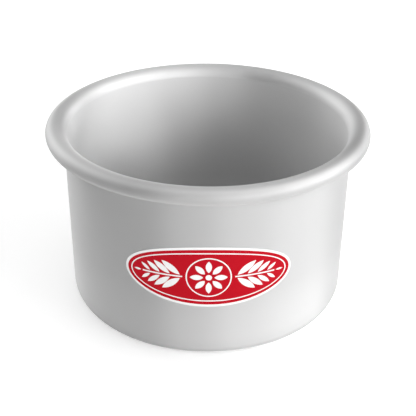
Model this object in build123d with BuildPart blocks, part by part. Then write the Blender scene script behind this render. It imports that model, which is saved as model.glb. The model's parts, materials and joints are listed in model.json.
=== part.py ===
from build123d import *
import os
from math import cos, pi, radians, sin

# Small round cake tin with a solid base, drawn and spun from one disc of aluminium sheet, and its label.
# Millimetres, +Z up. The origin is the centre of the base's underside, and the label faces -Y.

# Tin
inside_diameter = 76.2
inside_depth = 50.8
sheet = 1.0
inside_corner_radius = 3.0

# Rolled rim, from the lip outwards: crown, bead, a short flat under it, and the edge tucked up inside
crown_hollow_radius = 2.1
crown_turn = 45
bead_hollow_radius = 0.8
bead_flat = 0.8
tuck_turn = 70
edge_gap = 0.5  # between the sheet's free edge and the wall

# Label: its width is measured along the curved wall
label_width = 43.8
label_height = 17.6
label_drop = 0.3  # from the middle of the tin's height down to the label's middle
adhesive_thickness = 0.03
film_thickness = 0.1
ink_thickness = 0.02

# Printed panel: a white border, a red band, a white keyline and the red panel inside it
border = 0.7
band_width = 0.9
keyline_width = 0.35

# Ornament left open in the ink: a ringed rosette with a leafy sprig on each side
oval_points = 24
petals = 8
medallion_share = 0.84  # of the panel's half height
ring_width_share = 0.06  # these and the petals are shares of the medallion's radius
petal_start_share = 0.24
petal_end_share = 0.82
petal_width_share = 0.27
eye_share = 0.14
leaf_heading = 38
leaf_place_shares = (0.36, 0.49, 0.62, 0.75)  # along the panel's half width
leaf_length_shares = (0.86, 0.76, 0.61, 0.43)  # of the panel's half height
leaf_width_share = 0.3  # of each leaf's own length
leaf_stand_off_share = 0.07  # of the panel's half height, from the stem's middle
stem_width_share = 0.06
stem_span_shares = (0.33, 0.85)  # along the panel's half width
end_leaf_span_shares = (0.87, 0.97)

inside_radius = inside_diameter / 2
wall_radius = inside_radius + sheet
overall_height = inside_depth + sheet
crown_radius = crown_hollow_radius + sheet
bead_radius = bead_hollow_radius + sheet
crown_shift = (crown_radius - bead_radius) * sin(radians(crown_turn))
tuck_reach = bead_radius * sin(radians(tuck_turn))
lip_radius = sheet + edge_gap + tuck_reach + bead_flat - crown_shift
rim_radius = inside_radius + lip_radius + crown_shift + bead_radius
label_middle = overall_height / 2 - label_drop
overrun = sheet

os.makedirs("parts", exist_ok=True)


def draw_sheet_face(depth):
    """One face of the sheet, from the middle of the base out, up the wall, over the rim and round to the
    free edge: the food side at no depth, and the back at the sheet's thickness. Returns its two ends."""
    base = Line((0, sheet - depth), (inside_radius - inside_corner_radius, sheet - depth))
    corner = JernArc(base @ 1, base % 1, inside_corner_radius + depth, 90)
    wall = Line(corner @ 1, (inside_radius + depth, overall_height - lip_radius))
    lip = JernArc(wall @ 1, wall % 1, lip_radius - depth, -90)
    crown = JernArc(lip @ 1, lip % 1, crown_radius - depth, -crown_turn)
    bead = JernArc(crown @ 1, crown % 1, bead_radius - depth, crown_turn - 180)
    flat = Line(bead @ 1, bead @ 1 + (bead % 1) * bead_flat)
    tuck = JernArc(flat @ 1, flat % 1, bead_radius - depth, -tuck_turn)
    return base @ 0, tuck @ 1


def wrapped(place):
    """Front view of a place given as its distance along the curved wall and its height on the label."""
    return (wall_radius * sin(place.X / wall_radius), label_middle + place.Y)


def draw_oval(half_width, half_height, mode=Mode.ADD):
    """Closed oval that is a true ellipse once it lies on the wall."""
    turns = [2 * pi * i / oval_points for i in range(oval_points)]
    places = [Vector(half_width * cos(turn), half_height * sin(turn)) for turn in turns]
    with BuildLine() as outline:
        Spline(*[wrapped(place) for place in places], periodic=True)
    make_face(outline.edges(), mode=mode)


def draw_leaf(base, heading, length, width, mode=Mode.SUBTRACT):
    """Pointed leaf of two arcs, from its base towards its heading in degrees."""
    ahead = Vector(1, 0).rotate(Axis.Z, heading)
    aside = Vector(0, 1).rotate(Axis.Z, heading) * (width / 2)
    middle = base + ahead * (length / 2)
    tip = base + ahead * length
    with BuildLine() as outline:
        ThreePointArc(wrapped(base), wrapped(middle + aside), wrapped(tip))
        ThreePointArc(wrapped(tip), wrapped(middle - aside), wrapped(base))
    make_face(outline.edges(), mode=mode)


def draw_stem(start, end, width, mode=Mode.SUBTRACT):
    """Straight stem along the label's middle."""
    corners = [(start, -width / 2), (end, -width / 2), (end, width / 2), (start, width / 2)]
    with BuildLine() as outline:
        Polyline(*[wrapped(Vector(*corner)) for corner in corners], close=True)
    make_face(outline.edges(), mode=mode)


def cut_to_layer(inner_radius, thickness):
    """Keep only what lies between two radii of the wall's own axis."""
    on_base = (Align.CENTER, Align.CENTER, Align.MIN)
    Cylinder(inner_radius + thickness, overall_height, align=on_base, mode=Mode.INTERSECT)
    Cylinder(inner_radius, overall_height, align=on_base, mode=Mode.SUBTRACT)


def finish(builder, name):
    """Label a finished piece and write its file."""
    builder.part.label = name
    export_step(builder.part, f"parts/{name}.step")
    solids = len(builder.part.solids())
    print(f"{name}: {solids} solids, {builder.part.volume:.3f} mm3, {builder.part.bounding_box().size}")


with BuildPart() as pan_shell:
    with BuildSketch(Plane.XZ) as pan_section:
        with BuildLine():
            food_start, food_end = draw_sheet_face(0)
            back_start, back_end = draw_sheet_face(sheet)
            Line(food_start, back_start)
            Line(food_end, back_end)
        make_face()
    revolve(axis=Axis.Z)
finish(pan_shell, "pan_shell")

with BuildPart() as label_adhesive:
    with BuildSketch(Plane.XZ) as adhesive_outline:
        draw_oval(label_width / 2, label_height / 2)
    extrude(amount=wall_radius + overrun)
    cut_to_layer(wall_radius, adhesive_thickness)
finish(label_adhesive, "label_adhesive")

film_radius = wall_radius + adhesive_thickness
with BuildPart() as label_film:
    with BuildSketch(Plane.XZ) as film_outline:
        draw_oval(label_width / 2, label_height / 2)
    extrude(amount=wall_radius + overrun)
    cut_to_layer(film_radius, film_thickness)
finish(label_film, "label_film")

ink_radius = film_radius + film_thickness
band_half_width = label_width / 2 - border
band_half_height = label_height / 2 - border
keyline_half_width = band_half_width - band_width
keyline_half_height = band_half_height - band_width
panel_half_width = keyline_half_width - keyline_width
panel_half_height = keyline_half_height - keyline_width
medallion_radius = medallion_share * panel_half_height
disc_radius = medallion_radius * (1 - ring_width_share)
with BuildPart() as label_print:
    with BuildSketch(Plane.XZ) as ink_outline:
        draw_oval(band_half_width, band_half_height)
        draw_oval(keyline_half_width, keyline_half_height, mode=Mode.SUBTRACT)
        draw_oval(panel_half_width, panel_half_height)
        draw_oval(medallion_radius, medallion_radius, mode=Mode.SUBTRACT)
        draw_oval(disc_radius, disc_radius)
        draw_oval(eye_share * medallion_radius, eye_share * medallion_radius, mode=Mode.SUBTRACT)
        petal_length = (petal_end_share - petal_start_share) * medallion_radius
        for petal in range(petals):
            heading = 360 * petal / petals
            petal_base = Vector(petal_start_share * medallion_radius, 0).rotate(Axis.Z, heading)
            draw_leaf(petal_base, heading, petal_length, petal_width_share * medallion_radius)
        for side in (-1, 1):
            facing = 0 if side > 0 else 180
            stem_start, stem_end = [side * share * panel_half_width for share in stem_span_shares]
            draw_stem(stem_start, stem_end, stem_width_share * panel_half_height)
            for place_share, length_share in zip(leaf_place_shares, leaf_length_shares):
                leaf_length = length_share * panel_half_height
                for up in (-1, 1):
                    stand_off = up * leaf_stand_off_share * panel_half_height
                    leaf_base = Vector(side * place_share * panel_half_width, stand_off)
                    leaf_turn = facing + side * up * leaf_heading
                    draw_leaf(leaf_base, leaf_turn, leaf_length, leaf_width_share * leaf_length)
            end_start, end_tip = [share * panel_half_width for share in end_leaf_span_shares]
            end_length = end_tip - end_start
            draw_leaf(Vector(side * end_start, 0), facing, end_length, leaf_width_share * end_length)
    extrude(amount=wall_radius + overrun)
    cut_to_layer(ink_radius, ink_thickness)
finish(label_print, "label_print")

wall_length = overall_height - lip_radius - sheet - inside_corner_radius
bead_height = crown_radius + bead_radius - (crown_radius - bead_radius) * cos(radians(crown_turn))
print(f"overall {2 * rim_radius:.3f} across the rim, {overall_height:.3f} high")
print(f"lip radius {lip_radius:.3f}, bead {bead_height:.3f} tall, straight inner wall {wall_length:.3f}")
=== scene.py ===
import json
import math

import bmesh
import bpy
from mathutils import Matrix, Vector


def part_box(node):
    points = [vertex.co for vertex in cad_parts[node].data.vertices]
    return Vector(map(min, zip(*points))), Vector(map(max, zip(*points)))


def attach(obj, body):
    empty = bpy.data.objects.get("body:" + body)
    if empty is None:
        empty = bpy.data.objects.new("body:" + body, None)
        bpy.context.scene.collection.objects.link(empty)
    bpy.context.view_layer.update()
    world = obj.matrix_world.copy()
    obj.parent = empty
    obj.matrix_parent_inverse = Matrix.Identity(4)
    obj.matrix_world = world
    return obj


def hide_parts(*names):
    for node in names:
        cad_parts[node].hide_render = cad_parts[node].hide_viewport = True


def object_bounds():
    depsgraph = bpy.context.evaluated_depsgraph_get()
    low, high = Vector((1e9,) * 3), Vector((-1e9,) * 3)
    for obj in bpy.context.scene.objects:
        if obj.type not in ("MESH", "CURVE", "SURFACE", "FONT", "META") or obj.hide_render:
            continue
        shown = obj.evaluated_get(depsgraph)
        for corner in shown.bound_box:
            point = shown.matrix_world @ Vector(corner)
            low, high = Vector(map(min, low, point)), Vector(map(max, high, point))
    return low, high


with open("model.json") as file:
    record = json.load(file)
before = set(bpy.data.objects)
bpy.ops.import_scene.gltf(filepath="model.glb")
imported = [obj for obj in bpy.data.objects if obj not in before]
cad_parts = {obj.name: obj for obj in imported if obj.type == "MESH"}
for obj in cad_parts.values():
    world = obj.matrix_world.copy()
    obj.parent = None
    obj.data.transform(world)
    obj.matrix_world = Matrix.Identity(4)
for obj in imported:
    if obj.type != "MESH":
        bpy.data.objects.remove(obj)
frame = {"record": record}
cadLow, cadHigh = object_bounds()
print("frame loaded")

innerWall = next(m for m in frame["record"]["mounts"] if m["name"] == "inner_wall")

# lengths in metres, angles in degrees; the rim's overall size comes from the frame
pan = {
    "name": "panShell",
    "insideRadius": innerWall["dims"]["r_mm"] / 1000,
    "sheet": 0.001,
    "insideCorner": 0.003,
    "crownRadius": 0.0031,
    "crownTurn": 45,
    "beadRadius": 0.0018,
    "beadFlat": 0.0008,
    "tuckTurn": 70,
    "roundSteps": 288,  # facets round the tin
    "arcStep": 6,  # degrees between rings on a rounded stretch
    "straightStep": 0.0016,  # between rings on a straight stretch
    "sharpAngle": 40,
    "rimStart": 1.05,  # in thicknesses of the sheet, out from the inside of the wall
}
crownShift = (pan["crownRadius"] - pan["beadRadius"]) * math.sin(math.radians(pan["crownTurn"]))
lipRadius = cadHigh.x - pan["insideRadius"] - crownShift - pan["beadRadius"]
finishes = ("foodSide", "rim", "outside")  # in the order of the tin's material slots
mergeDistance = 0.000001


def linkMesh(bm, name, *materials):
    bmesh.ops.recalc_face_normals(bm, faces=bm.faces[:])
    mesh = bpy.data.meshes.new(name)
    bm.to_mesh(mesh)
    bm.free()
    for material in materials:
        mesh.materials.append(material)
    piece = bpy.data.objects.new(name, mesh)
    bpy.context.scene.collection.objects.link(piece)
    return piece


def markShading(bm, sharpAngle):
    for face in bm.faces:
        face.smooth = True
    for edge in bm.edges:
        if len(edge.link_faces) == 2 and edge.calc_face_angle() > math.radians(sharpAngle):
            edge.smooth = False


# a section is drawn by one vertex that runs ahead or turns, as a pen does
def runStraight(bm, tip, heading, length, step):
    count = max(1, round(length / step))
    for _ in range(count):
        grown = bmesh.ops.extrude_vert_indiv(bm, verts=[tip])["verts"]
        bmesh.ops.translate(bm, verts=grown, vec=heading * (length / count))
        tip = grown[0]
    return tip


def runArc(bm, tip, heading, radius, turn, step):
    toCentre = Vector((heading.z, 0, -heading.x)) * math.copysign(radius, turn)
    swept = bmesh.ops.spin(
        bm, geom=[tip], cent=tip.co + toCentre, axis=(0, 1, 0),
        angle=math.radians(turn), steps=max(2, round(abs(turn) / step)),
    )
    tip = next(item for item in swept["geom_last"] if isinstance(item, bmesh.types.BMVert))
    return tip, Matrix.Rotation(math.radians(turn), 3, "Y") @ heading


def runSheetFace(bm, depth):
    # food side at no depth, back of the sheet at its thickness
    corner, crown, bead = pan["insideCorner"] + depth, pan["crownRadius"] - depth, pan["beadRadius"] - depth
    wallFoot = pan["sheet"] + pan["insideCorner"]
    heading = Vector((1, 0, 0))
    tip = bm.verts.new((0, 0, pan["sheet"] - depth))
    tip = runStraight(bm, tip, heading, pan["insideRadius"] - pan["insideCorner"], pan["straightStep"])
    tip, heading = runArc(bm, tip, heading, corner, -90, pan["arcStep"])
    tip = runStraight(bm, tip, heading, cadHigh.z - lipRadius - wallFoot, pan["straightStep"])
    tip, heading = runArc(bm, tip, heading, lipRadius - depth, 90, pan["arcStep"])
    tip, heading = runArc(bm, tip, heading, crown, pan["crownTurn"], pan["arcStep"])
    tip, heading = runArc(bm, tip, heading, bead, 180 - pan["crownTurn"], pan["arcStep"])
    tip = runStraight(bm, tip, heading, pan["beadFlat"], pan["straightStep"])
    tip, heading = runArc(bm, tip, heading, bead, pan["tuckTurn"], pan["arcStep"])
    return tip


def chooseFinish(face):
    place = face.calc_center_median()
    radius = math.hypot(place.x, place.y)
    if place.z > cadHigh.z - lipRadius or radius > pan["insideRadius"] + pan["sheet"] * pan["rimStart"]:
        return finishes.index("rim")
    onFoodSide = radius < pan["insideRadius"] + pan["sheet"] / 2 and place.z > pan["sheet"] / 2
    return finishes.index("foodSide" if onFoodSide else "outside")


def makePan(materials):
    bm = bmesh.new()
    foodEdge = runSheetFace(bm, 0)
    backEdge = runSheetFace(bm, pan["sheet"])
    bm.edges.new((foodEdge, backEdge))
    bmesh.ops.spin(
        bm, geom=bm.verts[:] + bm.edges[:], cent=(0, 0, 0), axis=(0, 0, 1),
        angle=2 * math.pi, steps=pan["roundSteps"], use_merge=True,
    )
    bmesh.ops.remove_doubles(bm, verts=bm.verts[:], dist=mergeDistance)
    markShading(bm, pan["sharpAngle"])
    for face in bm.faces:
        face.material_index = chooseFinish(face)
    return linkMesh(bm, pan["name"], *materials)


def addNode(tree, kind, settings=(), **values):
    node = tree.nodes.new("ShaderNode" + kind)
    for name, value in settings:
        setattr(node, name, value)
    for name, value in values.items():
        socket = node.inputs[int(name[1:])] if name[0] == "_" else node.inputs[name.replace("_", " ")]
        if isinstance(value, bpy.types.NodeSocket):
            tree.links.new(value, socket)
        else:
            socket.default_value = value
    return node


def addMath(tree, operation, first, second, clamped=False):
    settings = (("operation", operation), ("use_clamp", clamped))
    return addNode(tree, "Math", settings, _0=first, _1=second).outputs[0]


def addRange(tree, value, reads, gives=(0.0, 1.0), blend="LINEAR"):
    return addNode(
        tree, "MapRange", (("interpolation_type", blend),), Value=value,
        From_Min=reads[0], From_Max=reads[1], To_Min=gives[0], To_Max=gives[1],
    ).outputs[0]


def addRadius(tree, place):
    # how far a point is from the tin's axis, and how high
    parts = addNode(tree, "SeparateXYZ", (), Vector=place).outputs
    flat = addNode(tree, "CombineXYZ", (), X=parts["X"], Y=parts["Y"]).outputs[0]
    radius = addNode(tree, "VectorMath", (("operation", "LENGTH"),), _0=flat).outputs["Value"]
    return radius, parts["Z"]


def startGroup(name, takes, gives):
    tree = bpy.data.node_groups.new(name, "ShaderNodeTree")
    for socket, kind in takes:
        tree.interface.new_socket(socket, in_out="INPUT", socket_type=kind)
    for socket in gives:
        tree.interface.new_socket(socket, in_out="OUTPUT", socket_type="NodeSocketFloat")
    return tree, tree.nodes.new("NodeGroupInput").outputs, tree.nodes.new("NodeGroupOutput").inputs


def useGroup(tree, group, **values):
    node = tree.nodes.new("ShaderNodeGroup")
    node.node_tree = group
    for name, value in values.items():
        if isinstance(value, bpy.types.NodeSocket):
            tree.links.new(value, node.inputs[name])
        else:
            node.inputs[name].default_value = value
    return node.outputs


# how the shared patterns are drawn; their sizes come from each material
pattern = {
    "grain": {"Detail": 2.0, "Roughness": 0.6},
    "cloud": {"Detail": 3.0, "Distortion": 0.6},
    "rings": {"Detail": 4.0, "Roughness": 0.7},
    "noiseSpan": (0.3, 0.7),  # where most of a noise's values lie
    "patchScale": 0.02,  # patches of faint and strong marks are 50 times as wide as a mark
    "patchStrength": (0.4, 1.0),
}


# fine even grain: a mask that runs from 0 to 1
def makeGrainGroup():
    tree, takes, gives = startGroup(
        "fineGrain", (("Place", "NodeSocketVector"), ("Size", "NodeSocketFloat")), ("Mask",),
    )
    perMetre = addMath(tree, "DIVIDE", 1.0, takes["Size"])
    noise = addNode(tree, "TexNoise", (), Vector=takes["Place"], Scale=perMetre, **pattern["grain"])
    tree.links.new(noise.outputs["Fac"], gives["Mask"])
    return tree


# soft clouds, as in an anodised skin or an ink layer of uneven thickness
def makeCloudGroup():
    tree, takes, gives = startGroup(
        "softCloud", (("Place", "NodeSocketVector"), ("Size", "NodeSocketFloat")), ("Mask",),
    )
    perMetre = addMath(tree, "DIVIDE", 1.0, takes["Size"])
    noise = addNode(tree, "TexNoise", (), Vector=takes["Place"], Scale=perMetre, **pattern["cloud"])
    mask = addRange(tree, noise.outputs["Fac"], pattern["noiseSpan"], blend="SMOOTHSTEP")
    tree.links.new(mask, gives["Mask"])
    return tree


# marks that a spinning tool leaves: they follow the section and run round the axis
def makeSpinGroup():
    tree, takes, gives = startGroup(
        "spinMarks", (("Place", "NodeSocketVector"), ("Spacing", "NodeSocketFloat")), ("Mask",),
    )
    radius, height = addRadius(tree, takes["Place"])
    section = addNode(tree, "CombineXYZ", (), X=radius, Y=height).outputs[0]
    perMetre = addMath(tree, "DIVIDE", 1.0, takes["Spacing"])
    rings = addNode(tree, "TexNoise", (), Vector=section, Scale=perMetre, **pattern["rings"])
    patchScale = addMath(tree, "MULTIPLY", perMetre, pattern["patchScale"])
    patches = addNode(tree, "TexNoise", (), Vector=takes["Place"], Scale=patchScale)
    strength = addRange(tree, patches.outputs["Fac"], pattern["noiseSpan"], pattern["patchStrength"])
    centred = addMath(tree, "SUBTRACT", rings.outputs["Fac"], 0.5)
    mask = addMath(tree, "ADD", addMath(tree, "MULTIPLY", centred, strength), 0.5)
    tree.links.new(mask, gives["Mask"])
    return tree


# where a point is in the tin's section: its share of the height, and how far round the rolled rim it is
def makeSectionGroup():
    tree, takes, gives = startGroup("sectionPlace", (("Place", "NodeSocketVector"),), ("Height", "Turn"))
    radius, height = addRadius(tree, takes["Place"])
    tree.links.new(addMath(tree, "DIVIDE", height, cadHigh.z), gives["Height"])
    outward = addMath(tree, "SUBTRACT", radius, pan["insideRadius"] + lipRadius)
    upward = addMath(tree, "SUBTRACT", height, cadHigh.z - lipRadius)
    turn = addMath(tree, "DIVIDE", addMath(tree, "ARCTAN2", upward, outward), math.pi)
    tree.links.new(turn, gives["Turn"])
    return tree


fineGrain = makeGrainGroup()
softCloud = makeCloudGroup()
spinMarks = makeSpinGroup()
sectionPlace = makeSectionGroup()


def startMaterial(name):
    material = bpy.data.materials.new(name)
    material.use_nodes = True
    tree = material.node_tree
    place = addNode(tree, "TexCoord").outputs["Object"]
    return material, tree, tree.nodes["Principled BSDF"].inputs, place


def wander(tree, middle, reach, mask):
    # a value that moves about its middle with a mask
    return addRange(tree, mask, (0.0, 1.0), (middle - reach, middle + reach))


bumpStrength = 0.5

# the base colour's levels run along the section: up the wall by share of the height, and on the rim from
# its outer side (0) over the top (0.5) to the food side (1). Most were fitted to the photograph's
# brightness by a separate program, band by band, and rounded by hand, so they hold some of its light
# besides the bands that rolling and spinning leave. So besides the bands that rolling and spinning leave,
# they are painted light and shade: painted highlight and shade bands on the rim, painted shade towards the
# bottom of the food side, and a painted contact shadow low on the outside. Near the floor that painted
# shadow darkens the rounded foot, not the flat underside.
metal = {
    "foodSide": {
        "runs": "Height",
        # painted shade: the food side is darker towards the bottom of the tin
        "tonesAndPaintedLight": ((0.19, 0.77), (0.31, 0.73), (0.54, 0.84), (0.77, 0.875), (0.94, 0.9)),
        "metallic": 0.6, "roughness": 0.60, "anisotropy": 0.95,
    },
    "rim": {
        "runs": "Turn",
        # painted highlights and shade: bands round the rolled rim, dark under the bead, duller over the top
        # and bright on the inner lip
        "tonesAndPaintedLight": (
            (0.04, 0.53), (0.11, 0.53), (0.17, 0.6), (0.23, 0.7), (0.33, 0.77), (0.44, 0.62),
            (0.56, 0.62), (0.67, 0.75), (0.78, 0.91), (0.92, 0.94),
        ),
        "metallic": 1.0, "roughness": 0.55, "anisotropy": 0.85,
    },
    "outside": {
        "runs": "Height",
        # painted shadow: the dark band low on the rounded foot stands for the contact shadow; the wall
        # above is darker towards the top
        "tonesAndPaintedLight": (
            (0.0, 0.68), (0.004, 0.62), (0.016, 0.26), (0.042, 0.48),
            (0.072, 0.68), (0.2, 0.71), (0.4, 0.655), (0.9, 0.635),
        ),
        "metallic": 0.8, "roughness": 0.60, "anisotropy": 0.95,
    },
    "spreadTurn": 0.25,  # of a full turn: gloss spreads across the marks, not along them
    "grainSize": 0.00025,
    "markSpacing": 0.0007,
    "cloudSize": 0.03,
    "toneReach": 0.006,
    "roughnessReach": 0.03,
    "markDepth": 0.000004,
}


def addTonesAndPaintedLight(tree, runs, tonesAndPaintedLight):
    ramp = addNode(tree, "ValToRGB", (), Fac=runs)
    ramp.color_ramp.interpolation = "CARDINAL"
    stops = ramp.color_ramp.elements
    while len(stops) < len(tonesAndPaintedLight):
        stops.new(0.5)
    for stop, (position, toneAndPaintedLight) in zip(stops, tonesAndPaintedLight):
        stop.position = position
        stop.color = (toneAndPaintedLight, toneAndPaintedLight, toneAndPaintedLight, 1)
    return ramp.outputs["Color"]


def makeMetal(side):
    material, tree, inputs, place = startMaterial("satinAluminium_" + side)
    finish = metal[side]
    section = useGroup(tree, sectionPlace, Place=place)
    marks = useGroup(tree, spinMarks, Place=place, Spacing=metal["markSpacing"])["Mask"]
    grain = useGroup(tree, fineGrain, Place=place, Size=metal["grainSize"])["Mask"]
    cloud = useGroup(tree, softCloud, Place=place, Size=metal["cloudSize"])["Mask"]
    tonesAndPaintedLight = addTonesAndPaintedLight(tree, section[finish["runs"]], finish["tonesAndPaintedLight"])
    toneAndPaintedLight = addMath(tree, "MULTIPLY", tonesAndPaintedLight, wander(tree, 1.0, metal["toneReach"], cloud))
    grey = addNode(tree, "CombineColor", (), Red=toneAndPaintedLight, Green=toneAndPaintedLight, Blue=toneAndPaintedLight)
    tree.links.new(grey.outputs[0], inputs["Base Color"])
    texture = addMath(tree, "MULTIPLY", addMath(tree, "ADD", grain, marks), 0.5)
    tree.links.new(wander(tree, finish["roughness"], metal["roughnessReach"], texture), inputs["Roughness"])
    inputs["Metallic"].default_value = finish["metallic"]
    inputs["Anisotropic"].default_value = finish["anisotropy"]
    inputs["Anisotropic Rotation"].default_value = metal["spreadTurn"]
    around = addNode(tree, "Tangent", (("direction_type", "RADIAL"), ("axis", "Z")))
    tree.links.new(around.outputs[0], inputs["Tangent"])
    bump = addNode(tree, "Bump", (), Strength=bumpStrength, Distance=metal["markDepth"], Height=texture)
    tree.links.new(bump.outputs[0], inputs["Normal"])
    return material


shell = makePan([makeMetal(side) for side in finishes])
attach(shell, "root")
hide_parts("pan_shell")
print("tin spun", len(shell.data.vertices))

filmLow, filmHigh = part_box("label_film")

# the label is drawn flat, as its distance along the wall and its height, and then bent onto the wall
label = {
    "wallRadius": pan["insideRadius"] + pan["sheet"],
    "middle": (filmLow.z + filmHigh.z) / 2,
    "halfWidth": 0.0219,
    "halfHeight": (filmHigh.z - filmLow.z) / 2,
    "adhesive": 0.00003,
    "film": 0.0001,
    "ink": 0.00002,
    "border": 0.0007,
    "band": 0.0009,
    "keyline": 0.00035,
    "ovalPoints": 240,
    "stripWidth": 0.0006,  # strips that let a flat shape bend round the wall
    "cutTolerance": 0.0000001,
    "sharpAngle": 40,
}

# shares of the panel's half width, of its half height, or of the medallion's radius, as in a drawn ornament
ornament = {
    "petals": 8,
    "medallion": 0.84,
    "ring": 0.06,
    "petalStart": 0.24,
    "petalEnd": 0.82,
    "petalWidth": 0.27,
    "eye": 0.14,
    "leafHeading": 38,
    "leafPlaces": (0.36, 0.49, 0.62, 0.75),
    "leafLengths": (0.86, 0.76, 0.61, 0.43),
    "leafWidth": 0.3,
    "standOff": 0.07,
    "stemWidth": 0.06,
    "stemSpan": (0.33, 0.85),
    "endLeafSpan": (0.87, 0.97),
    "leafSteps": 12,
}


def drawOval(bm, halfWidth, halfHeight):
    ring = bmesh.ops.create_circle(bm, radius=1, segments=label["ovalPoints"])["verts"]
    bmesh.ops.scale(bm, verts=ring, vec=(halfWidth, halfHeight, 1))


def drawLeaf(bm, base, heading, length, width):
    radius = (length ** 2 + width ** 2) / (4 * width)
    turn = 4 * math.atan(width / length)
    ends = []
    for side in (-1, 1):
        start = bm.verts.new((0, 0, 0))
        centre = (length / 2, side * (radius - width / 2), 0)
        swept = bmesh.ops.spin(
            bm, geom=[start], cent=centre, axis=(0, 0, side), angle=turn, steps=ornament["leafSteps"],
        )
        ends += [item for item in swept["geom_last"] if isinstance(item, bmesh.types.BMVert)]
        ends.append(start)
    # from the ends, the rest of the outline is reached along its edges
    outline = list({vert for end in ends for edge in end.link_edges for vert in edge.verts})
    while True:
        grown = list({vert for known in outline for edge in known.link_edges for vert in edge.verts})
        if len(grown) == len(outline):
            break
        outline = grown
    place = Matrix.Translation(base) @ Matrix.Rotation(math.radians(heading), 4, "Z")
    bmesh.ops.transform(bm, matrix=place, verts=outline)
    bmesh.ops.remove_doubles(bm, verts=outline, dist=mergeDistance)


def drawStem(bm, start, end, width):
    corners = [bm.verts.new(place) for place in (
        (start, -width / 2, 0), (end, -width / 2, 0), (end, width / 2, 0), (start, width / 2, 0),
    )]
    for corner, following in zip(corners, corners[1:] + corners[:1]):
        bm.edges.new((corner, following))


def drawBand(bm, halfWidth, halfHeight):
    drawOval(bm, halfWidth, halfHeight)
    drawOval(bm, halfWidth - label["band"], halfHeight - label["band"])


def drawPanel(bm, halfWidth, halfHeight):
    drawOval(bm, halfWidth, halfHeight)
    medallion = ornament["medallion"] * halfHeight
    drawOval(bm, medallion, medallion)
    for side, facing in ((-1, 180), (1, 0)):
        stemStart, stemEnd = [side * share * halfWidth for share in ornament["stemSpan"]]
        drawStem(bm, stemStart, stemEnd, ornament["stemWidth"] * halfHeight)
        for place, share in zip(ornament["leafPlaces"], ornament["leafLengths"]):
            length = share * halfHeight
            for up in (-1, 1):
                base = Vector((side * place * halfWidth, up * ornament["standOff"] * halfHeight, 0))
                heading = facing + side * up * ornament["leafHeading"]
                drawLeaf(bm, base, heading, length, ornament["leafWidth"] * length)
        endStart, endTip = [share * halfWidth for share in ornament["endLeafSpan"]]
        endLength = endTip - endStart
        drawLeaf(bm, Vector((side * endStart, 0, 0)), facing, endLength, ornament["leafWidth"] * endLength)


def drawMedallion(bm, radius):
    disc = radius * (1 - ornament["ring"])
    drawOval(bm, disc, disc)
    drawOval(bm, ornament["eye"] * radius, ornament["eye"] * radius)
    for petal in range(ornament["petals"]):
        heading = 360 * petal / ornament["petals"]
        start = Vector((ornament["petalStart"] * radius, 0, 0))
        base = Matrix.Rotation(math.radians(heading), 3, "Z") @ start
        length = (ornament["petalEnd"] - ornament["petalStart"]) * radius
        drawLeaf(bm, base, heading, length, ornament["petalWidth"] * radius)


def fillOutlines(bm):
    drawn = [edge for edge in bm.edges if not edge.link_faces]
    bmesh.ops.triangle_fill(bm, use_beauty=True, edges=drawn)


def bendOntoWall(bm, depth, thickness):
    strips = round(2 * label["halfWidth"] / label["stripWidth"])
    for i in range(1, strips):
        cut = (i / strips * 2 - 1) * label["halfWidth"]
        everything = bm.verts[:] + bm.edges[:] + bm.faces[:]
        bmesh.ops.bisect_plane(
            bm, geom=everything, dist=label["cutTolerance"], plane_co=(cut, 0, 0), plane_no=(1, 0, 0),
        )
    grown = bmesh.ops.extrude_face_region(bm, geom=bm.faces[:], use_keep_orig=True)["geom"]
    lifted = [item for item in grown if isinstance(item, bmesh.types.BMVert)]
    bmesh.ops.translate(bm, verts=lifted, vec=(0, 0, thickness))
    for vert in bm.verts:
        radius = label["wallRadius"] + depth + vert.co.z
        turn = vert.co.x / label["wallRadius"]
        vert.co = (radius * math.sin(turn), -radius * math.cos(turn), label["middle"] + vert.co.y)


def makeLayer(name, depth, thickness, drawings, material):
    bm = bmesh.new()
    for draw, *size in drawings:
        draw(bm, *size)
        fillOutlines(bm)
    bendOntoWall(bm, depth, thickness)
    bmesh.ops.recalc_face_normals(bm, faces=bm.faces[:])
    markShading(bm, label["sharpAngle"])
    return linkMesh(bm, name, material)


bandWidth, bandHeight = label["halfWidth"] - label["border"], label["halfHeight"] - label["border"]
inset = label["band"] + label["keyline"]
panelWidth, panelHeight = bandWidth - inset, bandHeight - inset
wholeOval = [(drawOval, label["halfWidth"], label["halfHeight"])]
printed = [
    (drawBand, bandWidth, bandHeight),
    (drawPanel, panelWidth, panelHeight),
    (drawMedallion, ornament["medallion"] * panelHeight),
]

coats = {
    "clearAdhesive": {"colour": (0.86, 0.86, 0.82), "roughness": 0.3, "gloss": 0.5},
    "whiteFilm": {"colour": (0.92, 0.92, 0.92), "roughness": 0.45, "gloss": 0.3},
    "redInk": {"colour": (0.5, 0.004, 0.014), "roughness": 0.45, "gloss": 0.08},
    "grainSize": 0.00012,
    "cloudSize": 0.008,
    "unevenness": 0.04,  # how far the clouds turn the colour into the darker one
    "darker": 0.6,  # share of the colour
    "roughnessReach": 0.06,
    "grainDepth": 0.000002,
}


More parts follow.
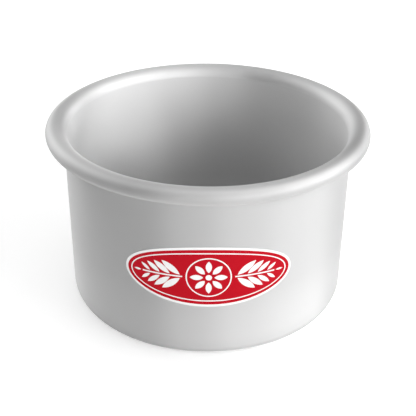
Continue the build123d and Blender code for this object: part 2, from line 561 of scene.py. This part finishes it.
def makeCoat(name):
    material, tree, inputs, place = startMaterial(name)
    grain = useGroup(tree, fineGrain, Place=place, Size=coats["grainSize"])["Mask"]
    cloud = useGroup(tree, softCloud, Place=place, Size=coats["cloudSize"])["Mask"]
    share = addMath(tree, "MULTIPLY", cloud, coats["unevenness"])
    colour = coats[name]["colour"]
    darker = [value * coats["darker"] for value in colour]
    # a Mix node's colours come in at 6 and 7 and go out at 2
    blend = addNode(tree, "Mix", (("data_type", "RGBA"),), Factor=share, _6=(*colour, 1), _7=(*darker, 1))
    tree.links.new(blend.outputs[2], inputs["Base Color"])
    roughness = wander(tree, coats[name]["roughness"], coats["roughnessReach"], grain)
    tree.links.new(roughness, inputs["Roughness"])
    inputs["Specular IOR Level"].default_value = coats[name]["gloss"]
    bump = addNode(tree, "Bump", (), Strength=bumpStrength, Distance=coats["grainDepth"], Height=grain)
    tree.links.new(bump.outputs[0], inputs["Normal"])
    return material


filmTop = label["adhesive"] + label["film"]
adhesive = makeLayer("labelAdhesive", 0, label["adhesive"], wholeOval, makeCoat("clearAdhesive"))
film = makeLayer("labelFilm", label["adhesive"], label["film"], wholeOval, makeCoat("whiteFilm"))
ink = makeLayer("labelPrint", filmTop, label["ink"], printed, makeCoat("redInk"))
for piece, node, slot in (
    (adhesive, "label_adhesive", "clear_adhesive"),
    (film, "label_film", "white_film"),
    (ink, "label_print", "red_ink"),
):
    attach(piece, "root")
    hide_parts(node)
    print(piece.name, "made", len(piece.data.polygons))

# the glow is what the camera and reflections see added to the lamps' light on the floor
floorPlan = {
    "halfWidth": 10,
    "colour": (0.9, 0.9, 0.9),
    "glow": (0.38, 0.8),  # near the tin, and where the lamps don't reach
    "glowSpan": (0.25, 1.0),  # how far from the tin the one begins to turn into the other, and where it has
}


def makeFloor():
    material = bpy.data.materials.new("paleFloor")
    material.use_nodes = True
    tree = material.node_tree
    tree.nodes.clear()
    rays = addNode(tree, "LightPath").outputs
    seen = addMath(tree, "ADD", rays["Is Camera Ray"], rays["Is Glossy Ray"])
    seenThrough = addMath(tree, "ADD", seen, rays["Is Transmission Ray"], clamped=True)
    place = addNode(tree, "TexCoord").outputs["Object"]
    away = addNode(tree, "VectorMath", (("operation", "LENGTH"),), _0=place).outputs["Value"]
    glow = addRange(tree, away, floorPlan["glowSpan"], floorPlan["glow"], "SMOOTHSTEP")
    shine = addNode(tree, "Emission", (), Strength=addMath(tree, "MULTIPLY", seenThrough, glow))
    matt = addNode(tree, "BsdfDiffuse", (), Color=(*floorPlan["colour"], 1))
    both = addNode(tree, "AddShader", (), _0=matt.outputs[0], _1=shine.outputs[0])
    addNode(tree, "OutputMaterial", (), Surface=both.outputs[0])
    bm = bmesh.new()
    bmesh.ops.create_grid(bm, x_segments=1, y_segments=1, size=floorPlan["halfWidth"])
    floor = linkMesh(bm, "floor", material)


makeFloor()

# the camera aims at a point near the tin's axis and is rolled slightly, as the photograph was taken
view = {
    "lens": 73.67,
    "distance": 0.2457,
    "elevation": 29.56,
    "azimuth": -0.88,
    "roll": 0.58,
    "aim": Vector((0.00024, 0, 0.02318)),
}


def makeCamera():
    lift, roll = math.radians(view["elevation"]), math.radians(view["roll"])
    ahead = Vector((0, math.cos(lift), -math.sin(lift)))
    above = Vector((0, math.sin(lift), math.cos(lift)))
    across = Vector((1, 0, 0))
    right = across * math.cos(roll) + above * math.sin(roll)
    up = above * math.cos(roll) - across * math.sin(roll)
    axes = Matrix((right, up, -ahead)).transposed().to_4x4()
    data = bpy.data.cameras.new("photoCamera")
    data.lens = view["lens"]
    camera = bpy.data.objects.new("photoCamera", data)
    place = Matrix.Translation(view["aim"] - ahead * view["distance"]) @ axes
    camera.matrix_world = Matrix.Rotation(math.radians(view["azimuth"]), 4, "Z") @ place
    bpy.context.scene.collection.objects.link(camera)
    bpy.context.scene.camera = camera


makeCamera()

# each lamp is a soft box that looks at the tin; azimuths run from the label's side to the right. The levels
# were fitted to the photograph's brightness by the same program and rounded.
lamps = {
    # azimuth, elevation, distance, width, height, and the brightness of the lamp's face
    "key": (68, 27, 0.9, 0.8, 0.32, 3.05),
    "keySpread": (53, 20, 1.3, 2.6, 0.8, 1.57),
    "kicker": (109, 24, 0.9, 0.5, 0.3, 3.05),
    "front": (3, 11, 0.9, 1.2, 0.24, 3.0),
    "back": (-147, 38, 1.2, 1.6, 1.4, 0.98),
    "top": (180, 80, 1.3, 0.8, 0.8, 1.05),
    "rearRight": (138, 9, 1.0, 0.5, 0.2, 3.0),
}


def makeLamp(name, azimuth, elevation, distance, width, height, level):
    data = bpy.data.lights.new(name, "AREA")
    data.shape = "RECTANGLE"
    data.size = width
    data.size_y = height
    data.energy = level * math.pi * width * height
    lamp = bpy.data.objects.new(name, data)
    middle = Matrix.Translation((0, 0, cadHigh.z / 2))
    turn = Matrix.Rotation(math.radians(azimuth), 4, "Z")
    turn = turn @ Matrix.Rotation(math.radians(90 - elevation), 4, "X")
    lamp.matrix_world = middle @ turn @ Matrix.Translation((0, 0, distance))
    lamp.visible_camera = False
    bpy.context.scene.collection.objects.link(lamp)


for name, settings in lamps.items():
    makeLamp(name, *settings)

# the studio's walls are pale where they meet the floor and darker above
surround = {
    "level": (0.9, 0.2),
    "rise": (0.0, 0.1),  # sine of the angle above the floor, where the fade begins and ends
}


def makeWorld():
    world = bpy.data.worlds.new("studio")
    world.use_nodes = True
    tree = world.node_tree
    sight = addNode(tree, "TexCoord").outputs["Generated"]
    rise = addNode(tree, "SeparateXYZ", (), Vector=sight).outputs["Z"]
    level = addRange(tree, rise, surround["rise"], surround["level"], "SMOOTHSTEP")
    background = tree.nodes["Background"].inputs
    background["Color"].default_value = (1, 1, 1, 1)
    tree.links.new(level, background["Strength"])
    return world


scene = bpy.context.scene
scene.world = makeWorld()
scene.view_settings.view_transform = "Standard"
print("studio lit")
